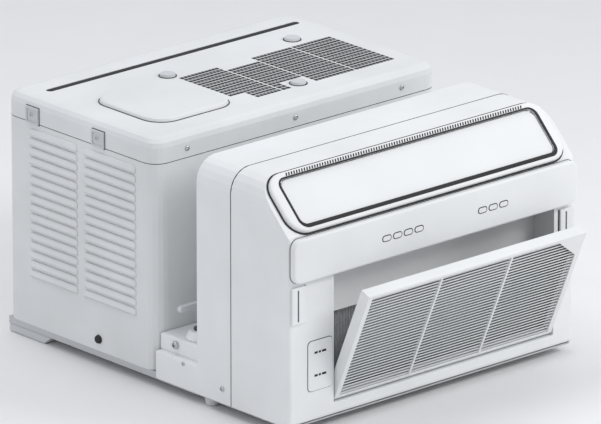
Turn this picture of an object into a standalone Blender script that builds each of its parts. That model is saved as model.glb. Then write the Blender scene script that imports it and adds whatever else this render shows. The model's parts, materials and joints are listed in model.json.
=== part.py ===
"""Saddle-shaped window air conditioner: an indoor and an outdoor unit joined by a low bridge.

Metres, +Z up. The front faces -Y and the origin is the centre of the bridge's underside,
which rests on the window sill. The intake panel is modelled at its open stop.
"""

import math

import bmesh
import bpy
from mathutils import Matrix, Vector

# Driving dimensions
WIDTH = 0.560
HALF = WIDTH / 2
GAP_HALF = 0.046
FRONT_Y = -0.246
REAR_Y = 0.382
SEAM_Y = -0.120
FRONT_BOTTOM = 0.004
FRONT_TOP = 0.364
CASING_BOTTOM = 0.012
LID_SPLIT = 0.329
LID_GAP = 0.0012
REAR_TOP = 0.366
CLEAR = 0.0003
PAN_LOW = 0.001
FOOT_LOW = -0.012

# Walls and corners
SHELL_WALL = 0.0025
CASING_WALL = 0.0016
CASING_CORNER = 0.025
SHELL_CORNER = 0.035
FRONT_CORNER = 0.006
CORNER_STEPS = 5

# Outlet slope: 45 degrees between the display band and the top
SLOPE_RUN = 0.074
SLOPE_LOW = Vector((0, FRONT_Y, FRONT_TOP - SLOPE_RUN))
ALONG = Vector((0, 1, 1)).normalized()
OUT = Vector((0, -1, 1)).normalized()
SLOPE_LENGTH = SLOPE_RUN * math.sqrt(2)
SLOPE_MID = SLOPE_LOW + ALONG * SLOPE_LENGTH / 2
RIM_HEIGHT = 0.008
WINDOW_HALF = 0.250
WINDOW_SPAN = 0.078
WINDOW_CORNER = 0.012
FLAP_THICK = 0.004
FLAP_LOW = 0.0012
FLAP_GAP = 0.0018
FLAP_SIDE = 0.0015
FLAP_PIVOT_ALONG = WINDOW_SPAN / 2 - FLAP_GAP - FLAP_THICK / 2
FLAP_PIVOT_OUT = FLAP_LOW + FLAP_THICK / 2
FLAP_PIN = 0.0014
VANE_COUNT = 3
VANE_PITCH = 0.150
VANE_DEPTH = 0.024

# Display band and buttons
BAND_LOW = 0.2225
BAND_HIGH = 0.2895
BAND_FRONT = FRONT_Y - 0.010
BUTTON_Z = 0.255
BUTTON_PITCH = 0.021
BUTTONS_LEFT = -0.100
BUTTONS_RIGHT = 0.088
BUTTON_WIDE = 0.016
BUTTON_HIGH = 0.008

# Intake panel: it turns about the centre of its rounded lower edge
PANEL_LEFT = -0.191
PANEL_RIGHT = 0.238
PANEL_THICK = 0.018
PANEL_PIVOT = Vector((0, -0.2372, 0.0335))
PANEL_TOP = 0.2205
PANEL_OPEN = math.radians(23)
PANEL_BORDER = 0.012
PANEL_RIB = 0.007
SLAT_COUNT = 17
WINDOW_CUT_X = 0.042
WINDOW_CUT_Z = 0.034
PIN_RADIUS = 0.003
FRAME_GAP = 0.0028
FRAME_WALL = 0.003
BAFFLE_LOW = 0.143

# Outdoor casing louvres
LOUVRE_ROWS = 16
LOUVRE_LOW = 0.090
LOUVRE_PITCH = 0.0146
LOUVRE_SLOT = 0.004
LOUVRE_COLUMNS = ((0.090, 0.201), (0.220, 0.323))
PIPE_GATE_HALF = 0.12
PIPE_GATE_TOP = 0.042
PAST = 0.01

# Lid: groove, raised pad, plugs and vent field
LID_WALL = 0.002
LID_EDGE = 0.014
GROOVE = (-0.242, 0.323, 0.254, 0.336)
GROOVE_DEPTH = 0.0012
PAD = (-0.225, 0.099, -0.071, 0.253)
PAD_HEIGHT = 0.006
PLUG_PLACES = ((-0.063, 0.265), (0.190, 0.272), (0.057, 0.110))
VENT_ROWS = 15
VENT_LOW = 0.101
VENT_PITCH = 0.0098
VENT_WIDE = 0.0082
VENT_ENDS = (-0.058, 0.017, 0.0195, 0.082, 0.0845, 0.162, 0.1645, 0.241)

# Feet, bridge and its seat on the sill
FOOT_X = 0.264
FOOT_Y = -0.061
STEP_Z = 0.047
BRIDGE_TOP = 0.072
CAP_INSET = 0.0105
SEAT_HALF = 0.044

# Outdoor works
SLAB_LOW = 0.0045
COMPRESSOR_PLACE = Vector((-0.175, 0.140, 0))
COMPRESSOR_RADIUS = 0.055
COMPRESSOR_TOP = 0.235
SUCTION_ROUTE = (
    (-0.175, 0.073, 0.110), (-0.120, 0.067, 0.095), (-0.092, 0.062, 0.040), (-0.085, 0.030, 0.026),
    (-0.085, -0.100, 0.026), (-0.085, -0.135, 0.032), (-0.085, -0.157, 0.038))
LIQUID_ROUTE = (
    (-0.210, 0.3440, 0.050), (-0.205, 0.300, 0.048), (-0.110, 0.240, 0.030), (-0.050, 0.100, 0.026),
    (-0.045, 0.030, 0.024), (-0.045, -0.100, 0.024), (-0.045, -0.135, 0.030), (-0.045, -0.157, 0.036))

# Outdoor fan and indoor blower
FAN_CENTRE = Vector((0.085, 0.298, 0.180))
FAN_RADIUS = 0.110
BLOWER_CENTRE = Vector((0, -0.112, 0.262))
BLOWER_RADIUS = 0.042
BLOWER_MOTOR_X = 0.190

COLORS = {
    "shell_white": ((0.86, 0.87, 0.87), 0.45, 0.0),
    "casing_white": ((0.80, 0.81, 0.81), 0.50, 0.1),
    "trim_grey": ((0.55, 0.57, 0.58), 0.45, 0.0),
    "dark_plastic": ((0.07, 0.07, 0.08), 0.50, 0.0),
    "filter_mesh": ((0.22, 0.23, 0.24), 0.70, 0.0),
    "steel": ((0.62, 0.63, 0.64), 0.35, 1.0),
    "aluminium_fin": ((0.75, 0.76, 0.77), 0.40, 1.0),
    "copper": ((0.72, 0.42, 0.26), 0.35, 1.0),
    "black_metal": ((0.04, 0.04, 0.045), 0.45, 0.4),
    "rubber": ((0.03, 0.03, 0.03), 0.80, 0.0),
    "board_green": ((0.05, 0.25, 0.12), 0.55, 0.0),
}


def clear_scene():
    for obj in list(bpy.data.objects):
        bpy.data.objects.remove(obj)


def collection():
    group = bpy.data.collections.new("window_air_conditioner")
    bpy.context.scene.collection.children.link(group)
    return group


def material(name):
    made = bpy.data.materials.get(name)
    if made:
        return made
    color, roughness, metallic = COLORS[name]
    made = bpy.data.materials.new(name)
    made.use_nodes = True
    shader = made.node_tree.nodes["Principled BSDF"]
    shader.inputs["Base Color"].default_value = (*color, 1)
    shader.inputs["Roughness"].default_value = roughness
    shader.inputs["Metallic"].default_value = metallic
    return made


# Mesh makers -------------------------------------------------------------------------------

def from_bmesh(name, bm):
    mesh = bpy.data.meshes.new(name)
    bm.to_mesh(mesh)
    bm.free()
    obj = bpy.data.objects.new(name, mesh)
    PARTS.objects.link(obj)
    return obj


def box(name, low, high):
    low, high = Vector(low), Vector(high)
    bm = bmesh.new()
    bmesh.ops.create_cube(bm, size=1)
    size = high - low
    bmesh.ops.scale(bm, vec=size, verts=bm.verts)
    bmesh.ops.translate(bm, vec=(low + high) / 2, verts=bm.verts)
    return from_bmesh(name, bm)


def boxes(name, spans):
    """Several boxes in one mesh, used as one cutter."""
    bm = bmesh.new()
    for low, high in spans:
        low, high = Vector(low), Vector(high)
        made = bmesh.ops.create_cube(bm, size=1)["verts"]
        bmesh.ops.scale(bm, vec=high - low, verts=made)
        bmesh.ops.translate(bm, vec=(low + high) / 2, verts=made)
    return from_bmesh(name, bm)


def cylinder(name, start, end, radius, end_radius=None, sides=24):
    start, end = Vector(start), Vector(end)
    bm = bmesh.new()
    top = radius if end_radius is None else end_radius
    length = (end - start).length
    bmesh.ops.create_cone(
        bm, cap_ends=True, segments=sides, radius1=radius, radius2=top, depth=length)
    turn = Vector((0, 0, 1)).rotation_difference(end - start).to_matrix().to_4x4()
    bmesh.ops.transform(bm, matrix=Matrix.Translation((start + end) / 2) @ turn, verts=bm.verts)
    return from_bmesh(name, bm)


def baked(obj):
    """The object's evaluated shape as a plain mesh, its loose caps welded."""
    bpy.context.view_layer.update()
    evaluated = obj.evaluated_get(bpy.context.evaluated_depsgraph_get())
    mesh = bpy.data.meshes.new_from_object(evaluated)
    bm = bmesh.new()
    bm.from_mesh(mesh)
    bmesh.ops.remove_doubles(bm, verts=bm.verts, dist=1e-6)
    bm.transform(obj.matrix_world)
    bmesh.ops.recalc_face_normals(bm, faces=bm.faces)
    name = obj.name
    bpy.data.objects.remove(obj)
    return from_bmesh(name, bm)


def outline(name, points, axis, low, high):
    """A flat outline extruded along an axis from low to high.

    The points are (Y, Z) along X, (X, Z) along Y, and (X, Y) along Z.
    """
    curve = bpy.data.curves.new(name, "CURVE")
    curve.dimensions = "2D"
    curve.fill_mode = "BOTH"
    curve.extrude = (high - low) / 2
    spline = curve.splines.new("POLY")
    spline.points.add(len(points) - 1)
    for point, (u, v) in zip(spline.points, points):
        point.co = (u, v, 0, 1)
    spline.use_cyclic_u = True
    obj = bpy.data.objects.new(name, curve)
    PARTS.objects.link(obj)
    mid = (low + high) / 2
    if axis == "X":
        obj.matrix_world = Matrix(((0, 0, 1, mid), (1, 0, 0, 0), (0, 1, 0, 0), (0, 0, 0, 1)))
    elif axis == "Y":
        obj.matrix_world = Matrix(((1, 0, 0, 0), (0, 0, -1, mid), (0, 1, 0, 0), (0, 0, 0, 1)))
    else:
        obj.matrix_world = Matrix.Translation((0, 0, mid))
    return baked(obj)


def rounded(u0, v0, u1, v1, radii, steps=CORNER_STEPS):
    """Corners of a rectangle as arcs; radii run low-left, low-right, high-right, high-left."""
    corners = ((u0, v0, 1, 1, 180), (u1, v0, -1, 1, 270), (u1, v1, -1, -1, 0), (u0, v1, 1, -1, 90))
    points = []
    for (u, v, du, dv, start), radius in zip(corners, radii):
        if radius == 0:
            points.append((u, v))
            continue
        for step in range(steps + 1):
            angle = math.radians(start + 90 * step / steps)
            points.append((
                u + du * radius + radius * math.cos(angle),
                v + dv * radius + radius * math.sin(angle)))
    return points


def tube(name, points, radius, material_name):
    """A bent pipe along a smooth curve through the given points."""
    curve = bpy.data.curves.new(name, "CURVE")
    curve.dimensions = "3D"
    curve.bevel_depth = radius
    curve.bevel_resolution = 2
    curve.use_fill_caps = True
    smooth = smooth_route(points)
    spline = curve.splines.new("POLY")
    spline.points.add(len(smooth) - 1)
    for point, place in zip(spline.points, smooth):
        point.co = (*place, 1)
    obj = bpy.data.objects.new(name, curve)
    PARTS.objects.link(obj)
    obj.data.materials.append(material(material_name))
    return obj


def smooth_route(points, steps=5):
    """Catmull-Rom points through a short route."""
    route = [Vector(point) for point in points]
    route = [2 * route[0] - route[1]] + route + [2 * route[-1] - route[-2]]
    smooth = []
    for before, start, end, after in zip(route, route[1:], route[2:], route[3:]):
        for step in range(steps):
            t = step / steps
            smooth.append(0.5 * (
                2 * start + (end - before) * t
                + (2 * before - 5 * start + 4 * end - after) * t * t
                + (3 * start - before - 3 * end + after) * t ** 3))
    return smooth + [route[-2]]


def combine(target, tool, operation):
    """Applies a Boolean with the tool, which is then removed."""
    modifier = target.modifiers.new("shape", "BOOLEAN")
    modifier.operation = operation
    modifier.object = tool
    made = baked(target)
    bpy.data.objects.remove(tool)
    return made


def cut(target, *tools):
    for tool in tools:
        target = combine(target, tool, "DIFFERENCE")
    return target


def join(target, *tools):
    for tool in tools:
        target = combine(target, tool, "UNION")
    return target


def bevel(obj, width, segments=2, keep=None):
    """Bevels the sharp edges, or those of them that keep(edge) accepts."""
    bm = bmesh.new()
    bm.from_mesh(obj.data)
    flat = math.radians(1)
    bmesh.ops.dissolve_limit(bm, angle_limit=flat, verts=bm.verts, edges=bm.edges)
    sharp = math.radians(40)
    edges = [
        edge for edge in bm.edges
        if edge.calc_face_angle(0) > sharp and (keep is None or keep(edge))]
    bmesh.ops.bevel(bm, geom=edges, offset=width, segments=segments, affect="EDGES", profile=0.5)
    bm.to_mesh(obj.data)
    bm.free()
    return obj


def turned(obj, matrix):
    obj.data.transform(matrix)
    return obj


def finish(obj, name, material_name):
    obj.name = name
    obj.data.name = name
    obj.data.materials.clear()
    obj.data.materials.append(material(material_name))
    obj.data.shade_smooth()
    obj.data.set_sharp_from_angle(angle=math.radians(35))
    return obj


def slope_frame(offset_along=0.0, offset_out=0.0):
    """Matrix whose X stays X, whose Y runs up the slope and whose Z points out of it."""
    origin = SLOPE_MID + ALONG * offset_along + OUT * offset_out
    return Matrix((
        (1, 0, 0, origin.x),
        (0, ALONG.y, OUT.y, origin.y),
        (0, ALONG.z, OUT.z, origin.z),
        (0, 0, 0, 1)))


# Base and bridge ---------------------------------------------------------------------------

def base_pan():
    """Steel floor of both units, pressed down a step where the bridge sits on the sill."""
    edge = HALF - 0.003
    floor = 0.0036
    pan = box("pan", (-edge, FRONT_Y + 0.0035, PAN_LOW), (edge, REAR_Y - 0.003, floor))
    seat = box("seat", (-edge + 0.001, -SEAT_HALF, 0), (edge - 0.001, SEAT_HALF, floor - 0.001))
    rim_low = GAP_HALF + 0.001
    rim = box("rim", (-edge, rim_low, PAN_LOW + 0.001), (edge, REAR_Y - 0.003, CASING_BOTTOM - CLEAR))
    hollow = box("hollow", (-edge + 0.007, rim_low + 0.007, floor), (edge - 0.007, REAR_Y - 0.010, 0.05))
    finish(cut(join(pan, seat, rim), hollow), "base_pan", "steel")


def feet():
    """A long foot across the outdoor unit and two short ones under the indoor unit."""
    top = PAN_LOW - CLEAR
    front_end, back_end = REAR_Y - 0.097, REAR_Y - 0.003
    ramp = 0.015
    points = [(front_end, top), (front_end + ramp, FOOT_LOW), (back_end, FOOT_LOW), (back_end, top)]
    rail = outline("rail", points, "X", -HALF + 0.003, HALF - 0.003)
    finish(bevel(rail, 0.002), "rear_foot", "trim_grey")
    for side, name in ((-1, "front_foot_left"), (1, "front_foot_right")):
        x, y = side * FOOT_X, FOOT_Y
        foot = cylinder(name, (x, y, FOOT_LOW), (x, y, top), 0.0095, 0.0115)
        finish(bevel(foot, 0.002), name, "trim_grey")


def bridge():
    """Lower skirt and upper cap over the pipes; both are open below."""
    depth, past = GAP_HALF - 0.0005, GAP_HALF + PAST
    wall, edge = 0.002, 0.003
    outer, inner = HALF - 0.0005, HALF - CAP_INSET
    skirt = box("skirt", (-outer, -depth, 0.0039), (outer, depth, STEP_Z))
    skirt = bevel(skirt, edge, 2, lambda line: top_edge(line, STEP_Z))
    hollow = box("hollow", (-outer + wall, -past, -PAST), (outer - wall, past, STEP_Z - wall))
    finish(cut(skirt, hollow), "bridge_skirt", "shell_white")
    cap = box("cap", (-inner, -depth, STEP_Z + CLEAR), (inner, depth, BRIDGE_TOP))
    cap = bevel(cap, edge, 2, lambda line: top_edge(line, BRIDGE_TOP))
    hollow = box("hollow", (-inner + wall, -past, 0), (inner - wall, past, BRIDGE_TOP - wall))
    finish(cut(cap, hollow), "bridge_cap", "shell_white")


def top_edge(edge, height):
    return all(abs(vert.co.z - height) < 1e-5 for vert in edge.verts)


def screw_head(name, place, direction, radius, height, sides=12):
    """A plain tapered head that stands off a face by the usual clearance."""
    face = Vector(place) + Vector(direction) * CLEAR
    head = cylinder("head", face, face + Vector(direction) * height, radius, radius * 0.8, sides)
    finish(head, name, "steel")


def bridge_fittings():
    hub_x, hub_y, hub_height, hub_radius = 0.244, -0.012, 0.013, 0.022
    screw_y, screw_z = 0.012, 0.061
    hub_low = BRIDGE_TOP + CLEAR
    for side, word in ((-1, "left"), (1, "right")):
        x = side * hub_x
        hub = cylinder("hub", (x, hub_y, hub_low), (x, hub_y, hub_low + hub_height), hub_radius, 0.016)
        finish(bevel(hub, 0.002), f"arm_hub_{word}", "shell_white")
        place = (side * (HALF - CAP_INSET), screw_y, screw_z)
        screw_head(f"bridge_screw_{word}", place, (side, 0, 0), 0.006, 0.005, 16)
    cross_bar()


def cross_bar():
    """Flat bar across the gap, on two posts from the indoor unit's back."""
    bar_end, bar_z, bar_half, bar_depth = 0.274, 0.119, 0.0045, 0.004
    post_x, post_half_x, post_half_z = 0.200, 0.006, 0.003
    points = rounded(-bar_end, bar_z - bar_half, bar_end, bar_z + bar_half, [0.004] * 4, 3)
    bar = outline("bar", points, "Y", -bar_depth, bar_depth)
    posts = [
        box("post", (x - post_half_x, -GAP_HALF + CLEAR, bar_z - post_half_z),
            (x + post_half_x, 0.001, bar_z + post_half_z))
        for x in (-post_x, post_x)]
    finish(join(bar, *posts), "cross_bar", "trim_grey")


# Outdoor unit ------------------------------------------------------------------------------

def casing_outline(inset):
    radius = CASING_CORNER - inset
    return rounded(
        -HALF + inset, GAP_HALF + inset, HALF - inset, REAR_Y - inset, [radius] * 4)


def louvre_slots():
    spans = []
    for row in range(LOUVRE_ROWS):
        z = LOUVRE_LOW + row * LOUVRE_PITCH
        for y0, y1 in LOUVRE_COLUMNS:
            for side in (-HALF, HALF):
                spans.append(((side - PAST, y0, z), (side + PAST, y1, z + LOUVRE_SLOT)))
    return spans


def rear_slots():
    """Air slots over the condenser, in two columns."""
    rows, first, pitch, high = 20, 0.040, 0.0138, 0.009
    spans = []
    for row in range(rows):
        z = first + row * pitch
        for x0 in (-0.235, 0.006):
            spans.append(((x0, REAR_Y - PAST, z), (x0 + 0.229, REAR_Y + PAST, z + high)))
    return spans


def rear_casing():
    casing = outline("casing", casing_outline(0), "Z", CASING_BOTTOM, LID_SPLIT - LID_GAP)
    hollow = outline("hollow", casing_outline(CASING_WALL), "Z", CASING_BOTTOM - PAST, LID_SPLIT + PAST)
    gate = pipe_gate(GAP_HALF)
    casing = cut(casing, hollow, gate, boxes("louvres", louvre_slots()), boxes("rear", rear_slots()))
    finish(casing, "rear_casing", "casing_white")


def pipe_gate(y):
    """Cutter for the opening that the pipes pass through in a wall that faces the gap."""
    return box("gate", (-PIPE_GATE_HALF, y - PAST, -PAST), (PIPE_GATE_HALF, y + PAST, PIPE_GATE_TOP))


def vent_slots():
    """The lid's vent field, stepped round the plugs like the pressed sheet."""
    near_step, far_step, plug_step = 0.122, 0.219, 0.125
    spans = []
    for row in range(VENT_ROWS):
        y = VENT_LOW + row * VENT_PITCH
        blocks = list(zip(VENT_ENDS[::2], VENT_ENDS[1::2]))
        if y < near_step:
            blocks[0] = (-0.031, blocks[0][1])
        if y < plug_step:
            blocks[1] = (blocks[1][0], 0.036)
        if y > far_step:
            del blocks[1]
        for x0, x1 in blocks:
            spans.append(((x0, y, REAR_TOP - PAST), (x1, y + VENT_WIDE, REAR_TOP + PAST)))
    return spans


def lid():
    shell = outline("lid", casing_outline(0), "Z", LID_SPLIT, REAR_TOP)
    shell = bevel(shell, LID_EDGE, 3, lambda edge: top_edge(edge, REAR_TOP))
    hollow = outline("hollow", casing_outline(LID_WALL), "Z", LID_SPLIT - PAST, REAR_TOP - LID_EDGE)
    crown = outline("crown", casing_outline(LID_EDGE - 0.001), "Z", LID_SPLIT - PAST / 2, REAR_TOP - LID_WALL)
    groove = rounded(*GROOVE, [0.006] * 4, 3)
    groove = outline("groove", groove, "Z", REAR_TOP - GROOVE_DEPTH, REAR_TOP + PAST)
    shell = cut(shell, hollow, crown, groove, boxes("vents", vent_slots()))
    pad_top = REAR_TOP + PAD_HEIGHT
    pad = outline("pad", rounded(*PAD, [0.034] * 4), "Z", REAR_TOP - 0.0015, pad_top)
    pad = bevel(pad, 0.005, 2, lambda edge: top_edge(edge, pad_top))
    finish(join(shell, pad), "lid", "casing_white")


def lid_fittings():
    plug_low, plug_height, plug_radius = REAR_TOP + CLEAR, 0.004, 0.0122
    for number, (x, y) in enumerate(PLUG_PLACES, 1):
        plug = cylinder("plug", (x, y, plug_low), (x, y, plug_low + plug_height), plug_radius, 0.0110)
        finish(plug, f"lid_plug_{number}", "trim_grey")
    for number, x in enumerate((-0.217, -0.006, 0.205), 1):
        screw_head(f"lid_screw_{number}", (x, GAP_HALF, 0.343), (0, -1, 0), 0.004, 0.002)
    clip_half, clip_low, clip_high, clip_thick = 0.014, 0.327, 0.353, 0.003
    for side, word in ((-1, "left"), (1, "right")):
        face = side * (HALF + CLEAR)
        near, far = sorted((face, face + side * clip_thick))
        for y, place in ((0.170, "front"), (0.317, "rear")):
            clip = box("clip", (near, y - clip_half, clip_low), (far, y + clip_half, clip_high))
            finish(bevel(clip, 0.001, 1), f"lid_clip_{word}_{place}", "trim_grey")
    drain_y, drain_z = 0.172, 0.030
    plug = cylinder(
        "plug", (-HALF - CLEAR, drain_y, drain_z), (-HALF - 0.004, drain_y, drain_z), 0.007, 0.0055, 16)
    finish(plug, "drain_plug", "rubber")


def outdoor_works():
    coil = box("coil", (-0.250, 0.345, SLAB_LOW), (0.250, 0.372, 0.318))
    finish(coil, "condenser_coil", "aluminium_fin")
    x, z = FAN_CENTRE.x, FAN_CENTRE.z
    plate_low, plate_high = 0.318, 0.322
    shroud = box("shroud", (-0.060, plate_low, SLAB_LOW), (0.262, plate_high, 0.322))
    hole = cylinder("hole", (x, plate_low - PAST, z), (x, plate_high + PAST, z), FAN_RADIUS + 0.006, sides=40)
    finish(cut(shroud, hole), "fan_shroud", "dark_plastic")
    motor_front, motor_back, motor_radius = 0.205, 0.268, 0.040
    motor = bevel(cylinder("motor", (x, motor_front, z), (x, motor_back, z), motor_radius), 0.003)
    leg = box("leg", (x - 0.018, 0.220, 0.0050), (x + 0.018, 0.250, z - 0.030))
    foot = box("foot", (x - 0.040, 0.208, 0.0040), (x + 0.040, 0.262, 0.0070))
    finish(join(motor, leg, foot), "fan_motor", "steel")
    compressor()
    tube("suction_pipe", SUCTION_ROUTE, 0.0060, "copper")
    tube("liquid_pipe", LIQUID_ROUTE, 0.0040, "copper")


def compressor():
    """A welded can on a turned profile, from its top to its foot."""
    radius, high, dome, foot = COMPRESSOR_RADIUS, COMPRESSOR_TOP, 0.030, 0.020
    profile = [(0.0, high)]
    for step in range(1, 6):
        angle = math.radians(90 - 18 * step)
        profile.append((radius * math.cos(angle), high - dome + dome * math.sin(angle)))
    profile += [(radius, SLAB_LOW + foot), (radius * 0.82, SLAB_LOW), (0.0, SLAB_LOW)]
    bm = bmesh.new()
    verts = [bm.verts.new((r, 0, z)) for r, z in profile]
    for start, end in zip(verts, verts[1:]):
        bm.edges.new((start, end))
    can = from_bmesh("compressor", bm)
    screw = can.modifiers.new("turn", "SCREW")
    screw.steps = screw.render_steps = 24
    screw.use_merge_vertices = True
    screw.merge_threshold = 0.0001
    can = turned(baked(can), Matrix.Translation(COMPRESSOR_PLACE))
    finish(can, "compressor", "black_metal")


def condenser_fan():
    centre = FAN_CENTRE
    hub_radius, blades, blade_half, blade_pitch = 0.030, 5, 0.028, math.radians(28)
    fan = cylinder("fan", centre + Vector((0, -0.012, 0)), centre + Vector((0, 0.014, 0)), hub_radius)
    for blade in range(blades):
        plate = box("blade", (0.024, -0.0012, -blade_half), (FAN_RADIUS, 0.0012, blade_half))
        pitch = Matrix.Rotation(blade_pitch, 4, "X")
        around = Matrix.Rotation(2 * math.pi * blade / blades, 4, "Y")
        turned(plate, Matrix.Translation(centre) @ around @ pitch)
        fan = join(fan, plate)
    shaft = cylinder("shaft", (centre.x, 0.2683, centre.z), (centre.x, 0.290, centre.z), 0.005, sides=12)
    finish(join(fan, shaft), "condenser_fan", "dark_plastic")


# Indoor unit -------------------------------------------------------------------------------

def side_profile(inset, back):
    """Front and slope as seen from the side, running past the floor and the top."""
    slant = inset * math.tan(math.radians(22.5))
    past = 0.02
    return [
        (FRONT_Y + inset, FRONT_BOTTOM - 3 * past),
        (FRONT_Y + inset, SLOPE_LOW.z - slant),
        (FRONT_Y + SLOPE_RUN + slant + past, FRONT_TOP - inset + past),
        (back, FRONT_TOP + past),
        (back, FRONT_BOTTOM - 3 * past),
    ]


def arch(inset, y0, y1):
    """The indoor unit's section across its width: square at the floor, rounded at the top."""
    radius = SHELL_CORNER - inset
    points = rounded(
        -HALF + inset, FRONT_BOTTOM - 20 * inset, HALF - inset, FRONT_TOP - inset, (0, 0, radius, radius))
    return outline("arch", points, "Y", y0, y1)


def slope_box(name, half_x, span, low, high):
    made = box(name, (-half_x, -span / 2, low), (half_x, span / 2, high))
    return turned(made, slope_frame())


def intake_edges():
    gap = FRAME_GAP
    return PANEL_LEFT - gap, 0.0232, PANEL_RIGHT + gap, PANEL_TOP + 0.0022


def upright_corner(edge):
    """Whether an edge is one of the indoor unit's two upright front corners."""
    return all(abs(abs(v.co.x) - HALF) < 1e-5 and abs(v.co.y - FRONT_Y) < 1e-5 for v in edge.verts)


def front_shell():
    seam = SEAM_Y - CLEAR
    shell = outline("shell", side_profile(0, seam), "X", -HALF - 0.01, HALF + 0.01)
    shell = combine(shell, arch(0, FRONT_Y - 0.01, seam + 0.01), "INTERSECT")
    shell = bevel(shell, FRONT_CORNER, 3, upright_corner)
    inside = outline("inside", side_profile(SHELL_WALL, seam + 0.02), "X", -HALF - 0.02, HALF + 0.02)
    inside = combine(inside, arch(SHELL_WALL, FRONT_Y - 0.02, seam + 0.04), "INTERSECT")
    x0, z0, x1, z1 = intake_edges()
    mouth = outline("mouth", rounded(x0, z0, x1, z1, [0.002] * 4, 2), "Y", FRONT_Y - 0.02, FRONT_Y + 0.02)
    outlet = slope_box("outlet", WINDOW_HALF - 0.003, WINDOW_SPAN - 0.004, -0.02, 0.02)
    finish(cut(shell, inside, mouth, outlet), "front_shell", "shell_white")


def back_shell():
    front = SEAM_Y + CLEAR
    back = -GAP_HALF
    shell = arch(0, front, back)
    inside = arch(SHELL_WALL, front - 0.02, back - SHELL_WALL)
    finish(cut(shell, inside, pipe_gate(back)), "back_shell", "shell_white")
    for side, word in ((-1, "left"), (1, "right")):
        screw_head(f"shell_screw_{word}", (side * HALF, -0.101, 0.026), (side, 0, 0), 0.004, 0.002)


def outlet_rim():
    low, high = CLEAR, RIM_HEIGHT
    ring_half, ring_corner, half = 0.270, 0.030, WINDOW_SPAN / 2
    span = SLOPE_LENGTH - 0.006
    points = rounded(-ring_half, -span / 2, ring_half, span / 2, [ring_corner] * 4)
    ring = bevel(outline("ring", points, "Z", low, high), 0.0035, 2, lambda edge: top_edge(edge, high))
    points = rounded(-WINDOW_HALF, -half, WINDOW_HALF, half, [WINDOW_CORNER] * 4)
    window = outline("window", points, "Z", low - PAST, high + PAST)
    sockets = flap_pins(0.236, 0.2525, FLAP_PIN + 0.0004)
    finish(turned(cut(ring, window, *sockets), slope_frame()), "outlet_rim", "shell_white")


def flap_pins(near, far, radius):
    y, z = FLAP_PIVOT_ALONG, FLAP_PIVOT_OUT
    return [
        cylinder("pin", (side * near, y, z), (side * far, y, z), radius, sides=12)
        for side in (-1, 1)]


def louver_flap():
    """Plate with two pins on its hinge side, where its corners are cut rounder to swing clear."""
    half_x, half = WINDOW_HALF - FLAP_SIDE, WINDOW_SPAN / 2
    low_corner, hinge_corner = WINDOW_CORNER - FLAP_SIDE, WINDOW_CORNER + 0.003
    corners = [low_corner, low_corner, hinge_corner, hinge_corner]
    points = rounded(-half_x, -half + FLAP_SIDE, half_x, half - FLAP_GAP, corners)
    plate = outline("flap", points, "Z", FLAP_LOW, FLAP_LOW + FLAP_THICK)
    plate = join(bevel(plate, 0.0008, 1), *flap_pins(0.231, 0.2505, FLAP_PIN))
    finish(turned(plate, slope_frame()), "louver_flap", "shell_white")


def vane_places():
    first = -VANE_PITCH * (VANE_COUNT - 1) / 2
    return [first + VANE_PITCH * number for number in range(VANE_COUNT)]


def vanes():
    """Upright vanes on pins in a carrier, with the link that turns them together."""
    vane_half, vane_thick, pin_radius = 0.020, 0.001, 0.002
    for number, x in enumerate(vane_places(), 1):
        plate = box("vane", (x - vane_thick, -vane_half, -VANE_DEPTH), (x + vane_thick, vane_half, -0.002))
        pin = cylinder("pin", (x, 0, -VANE_DEPTH - 0.0085), (x, 0, -VANE_DEPTH + 0.002), pin_radius, sides=12)
        finish(turned(join(plate, pin), slope_frame()), f"vane_{number}", "dark_plastic")
    rail_top, rail_half, rail_thick = -VANE_DEPTH - 0.0045, 0.246, 0.004
    rail = box("rail", (-rail_half, -0.006, rail_top - rail_thick), (rail_half, 0.006, rail_top))
    holes = [
        cylinder("hole", (x, 0, rail_top - PAST), (x, 0, rail_top + PAST), pin_radius + 0.0004, sides=12)
        for x in vane_places()]
    finish(turned(cut(rail, *holes), slope_frame()), "vane_carrier", "dark_plastic")
    link_top, link_half, link_thick = -VANE_DEPTH - 0.0006, 0.190, 0.003
    link = box("link", (-link_half, 0.012, link_top - link_thick), (link_half, 0.016, link_top))
    finish(turned(link, slope_frame()), "vane_link", "dark_plastic")


def capsule(x, z, wide, high):
    half = high / 2
    return rounded(x - wide / 2, z - half, x + wide / 2, z + half, [half - 0.0001] * 4, 4)


def button_places():
    left = [(f"button_left_{n + 1}", BUTTONS_LEFT + n * BUTTON_PITCH) for n in range(4)]
    right = [(f"button_right_{n + 1}", BUTTONS_RIGHT + n * BUTTON_PITCH) for n in range(3)]
    return left + right


def display_band():
    edge = HALF - 0.002
    back = FRONT_Y - CLEAR
    key_gap, key_proud, key_reach = 0.0008, 0.0006, 0.0016
    band = outline("band", rounded(-edge, BAND_LOW, edge, BAND_HIGH, [0.014] * 4), "Y", BAND_FRONT, back)
    band = bevel(band, 0.003, 2, lambda line: all(abs(v.co.y - BAND_FRONT) < 1e-5 for v in line.verts))
    for _, x in button_places():
        points = capsule(x, BUTTON_Z, BUTTON_WIDE, BUTTON_HIGH)
        band = cut(band, outline("hole", points, "Y", BAND_FRONT - PAST, back + PAST))
    finish(band, "display_band", "shell_white")
    for name, x in button_places():
        points = capsule(x, BUTTON_Z, BUTTON_WIDE - key_gap, BUTTON_HIGH - key_gap)
        key = outline(name, points, "Y", BAND_FRONT - key_proud, back - key_reach)
        finish(key, name, "trim_grey")


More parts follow.
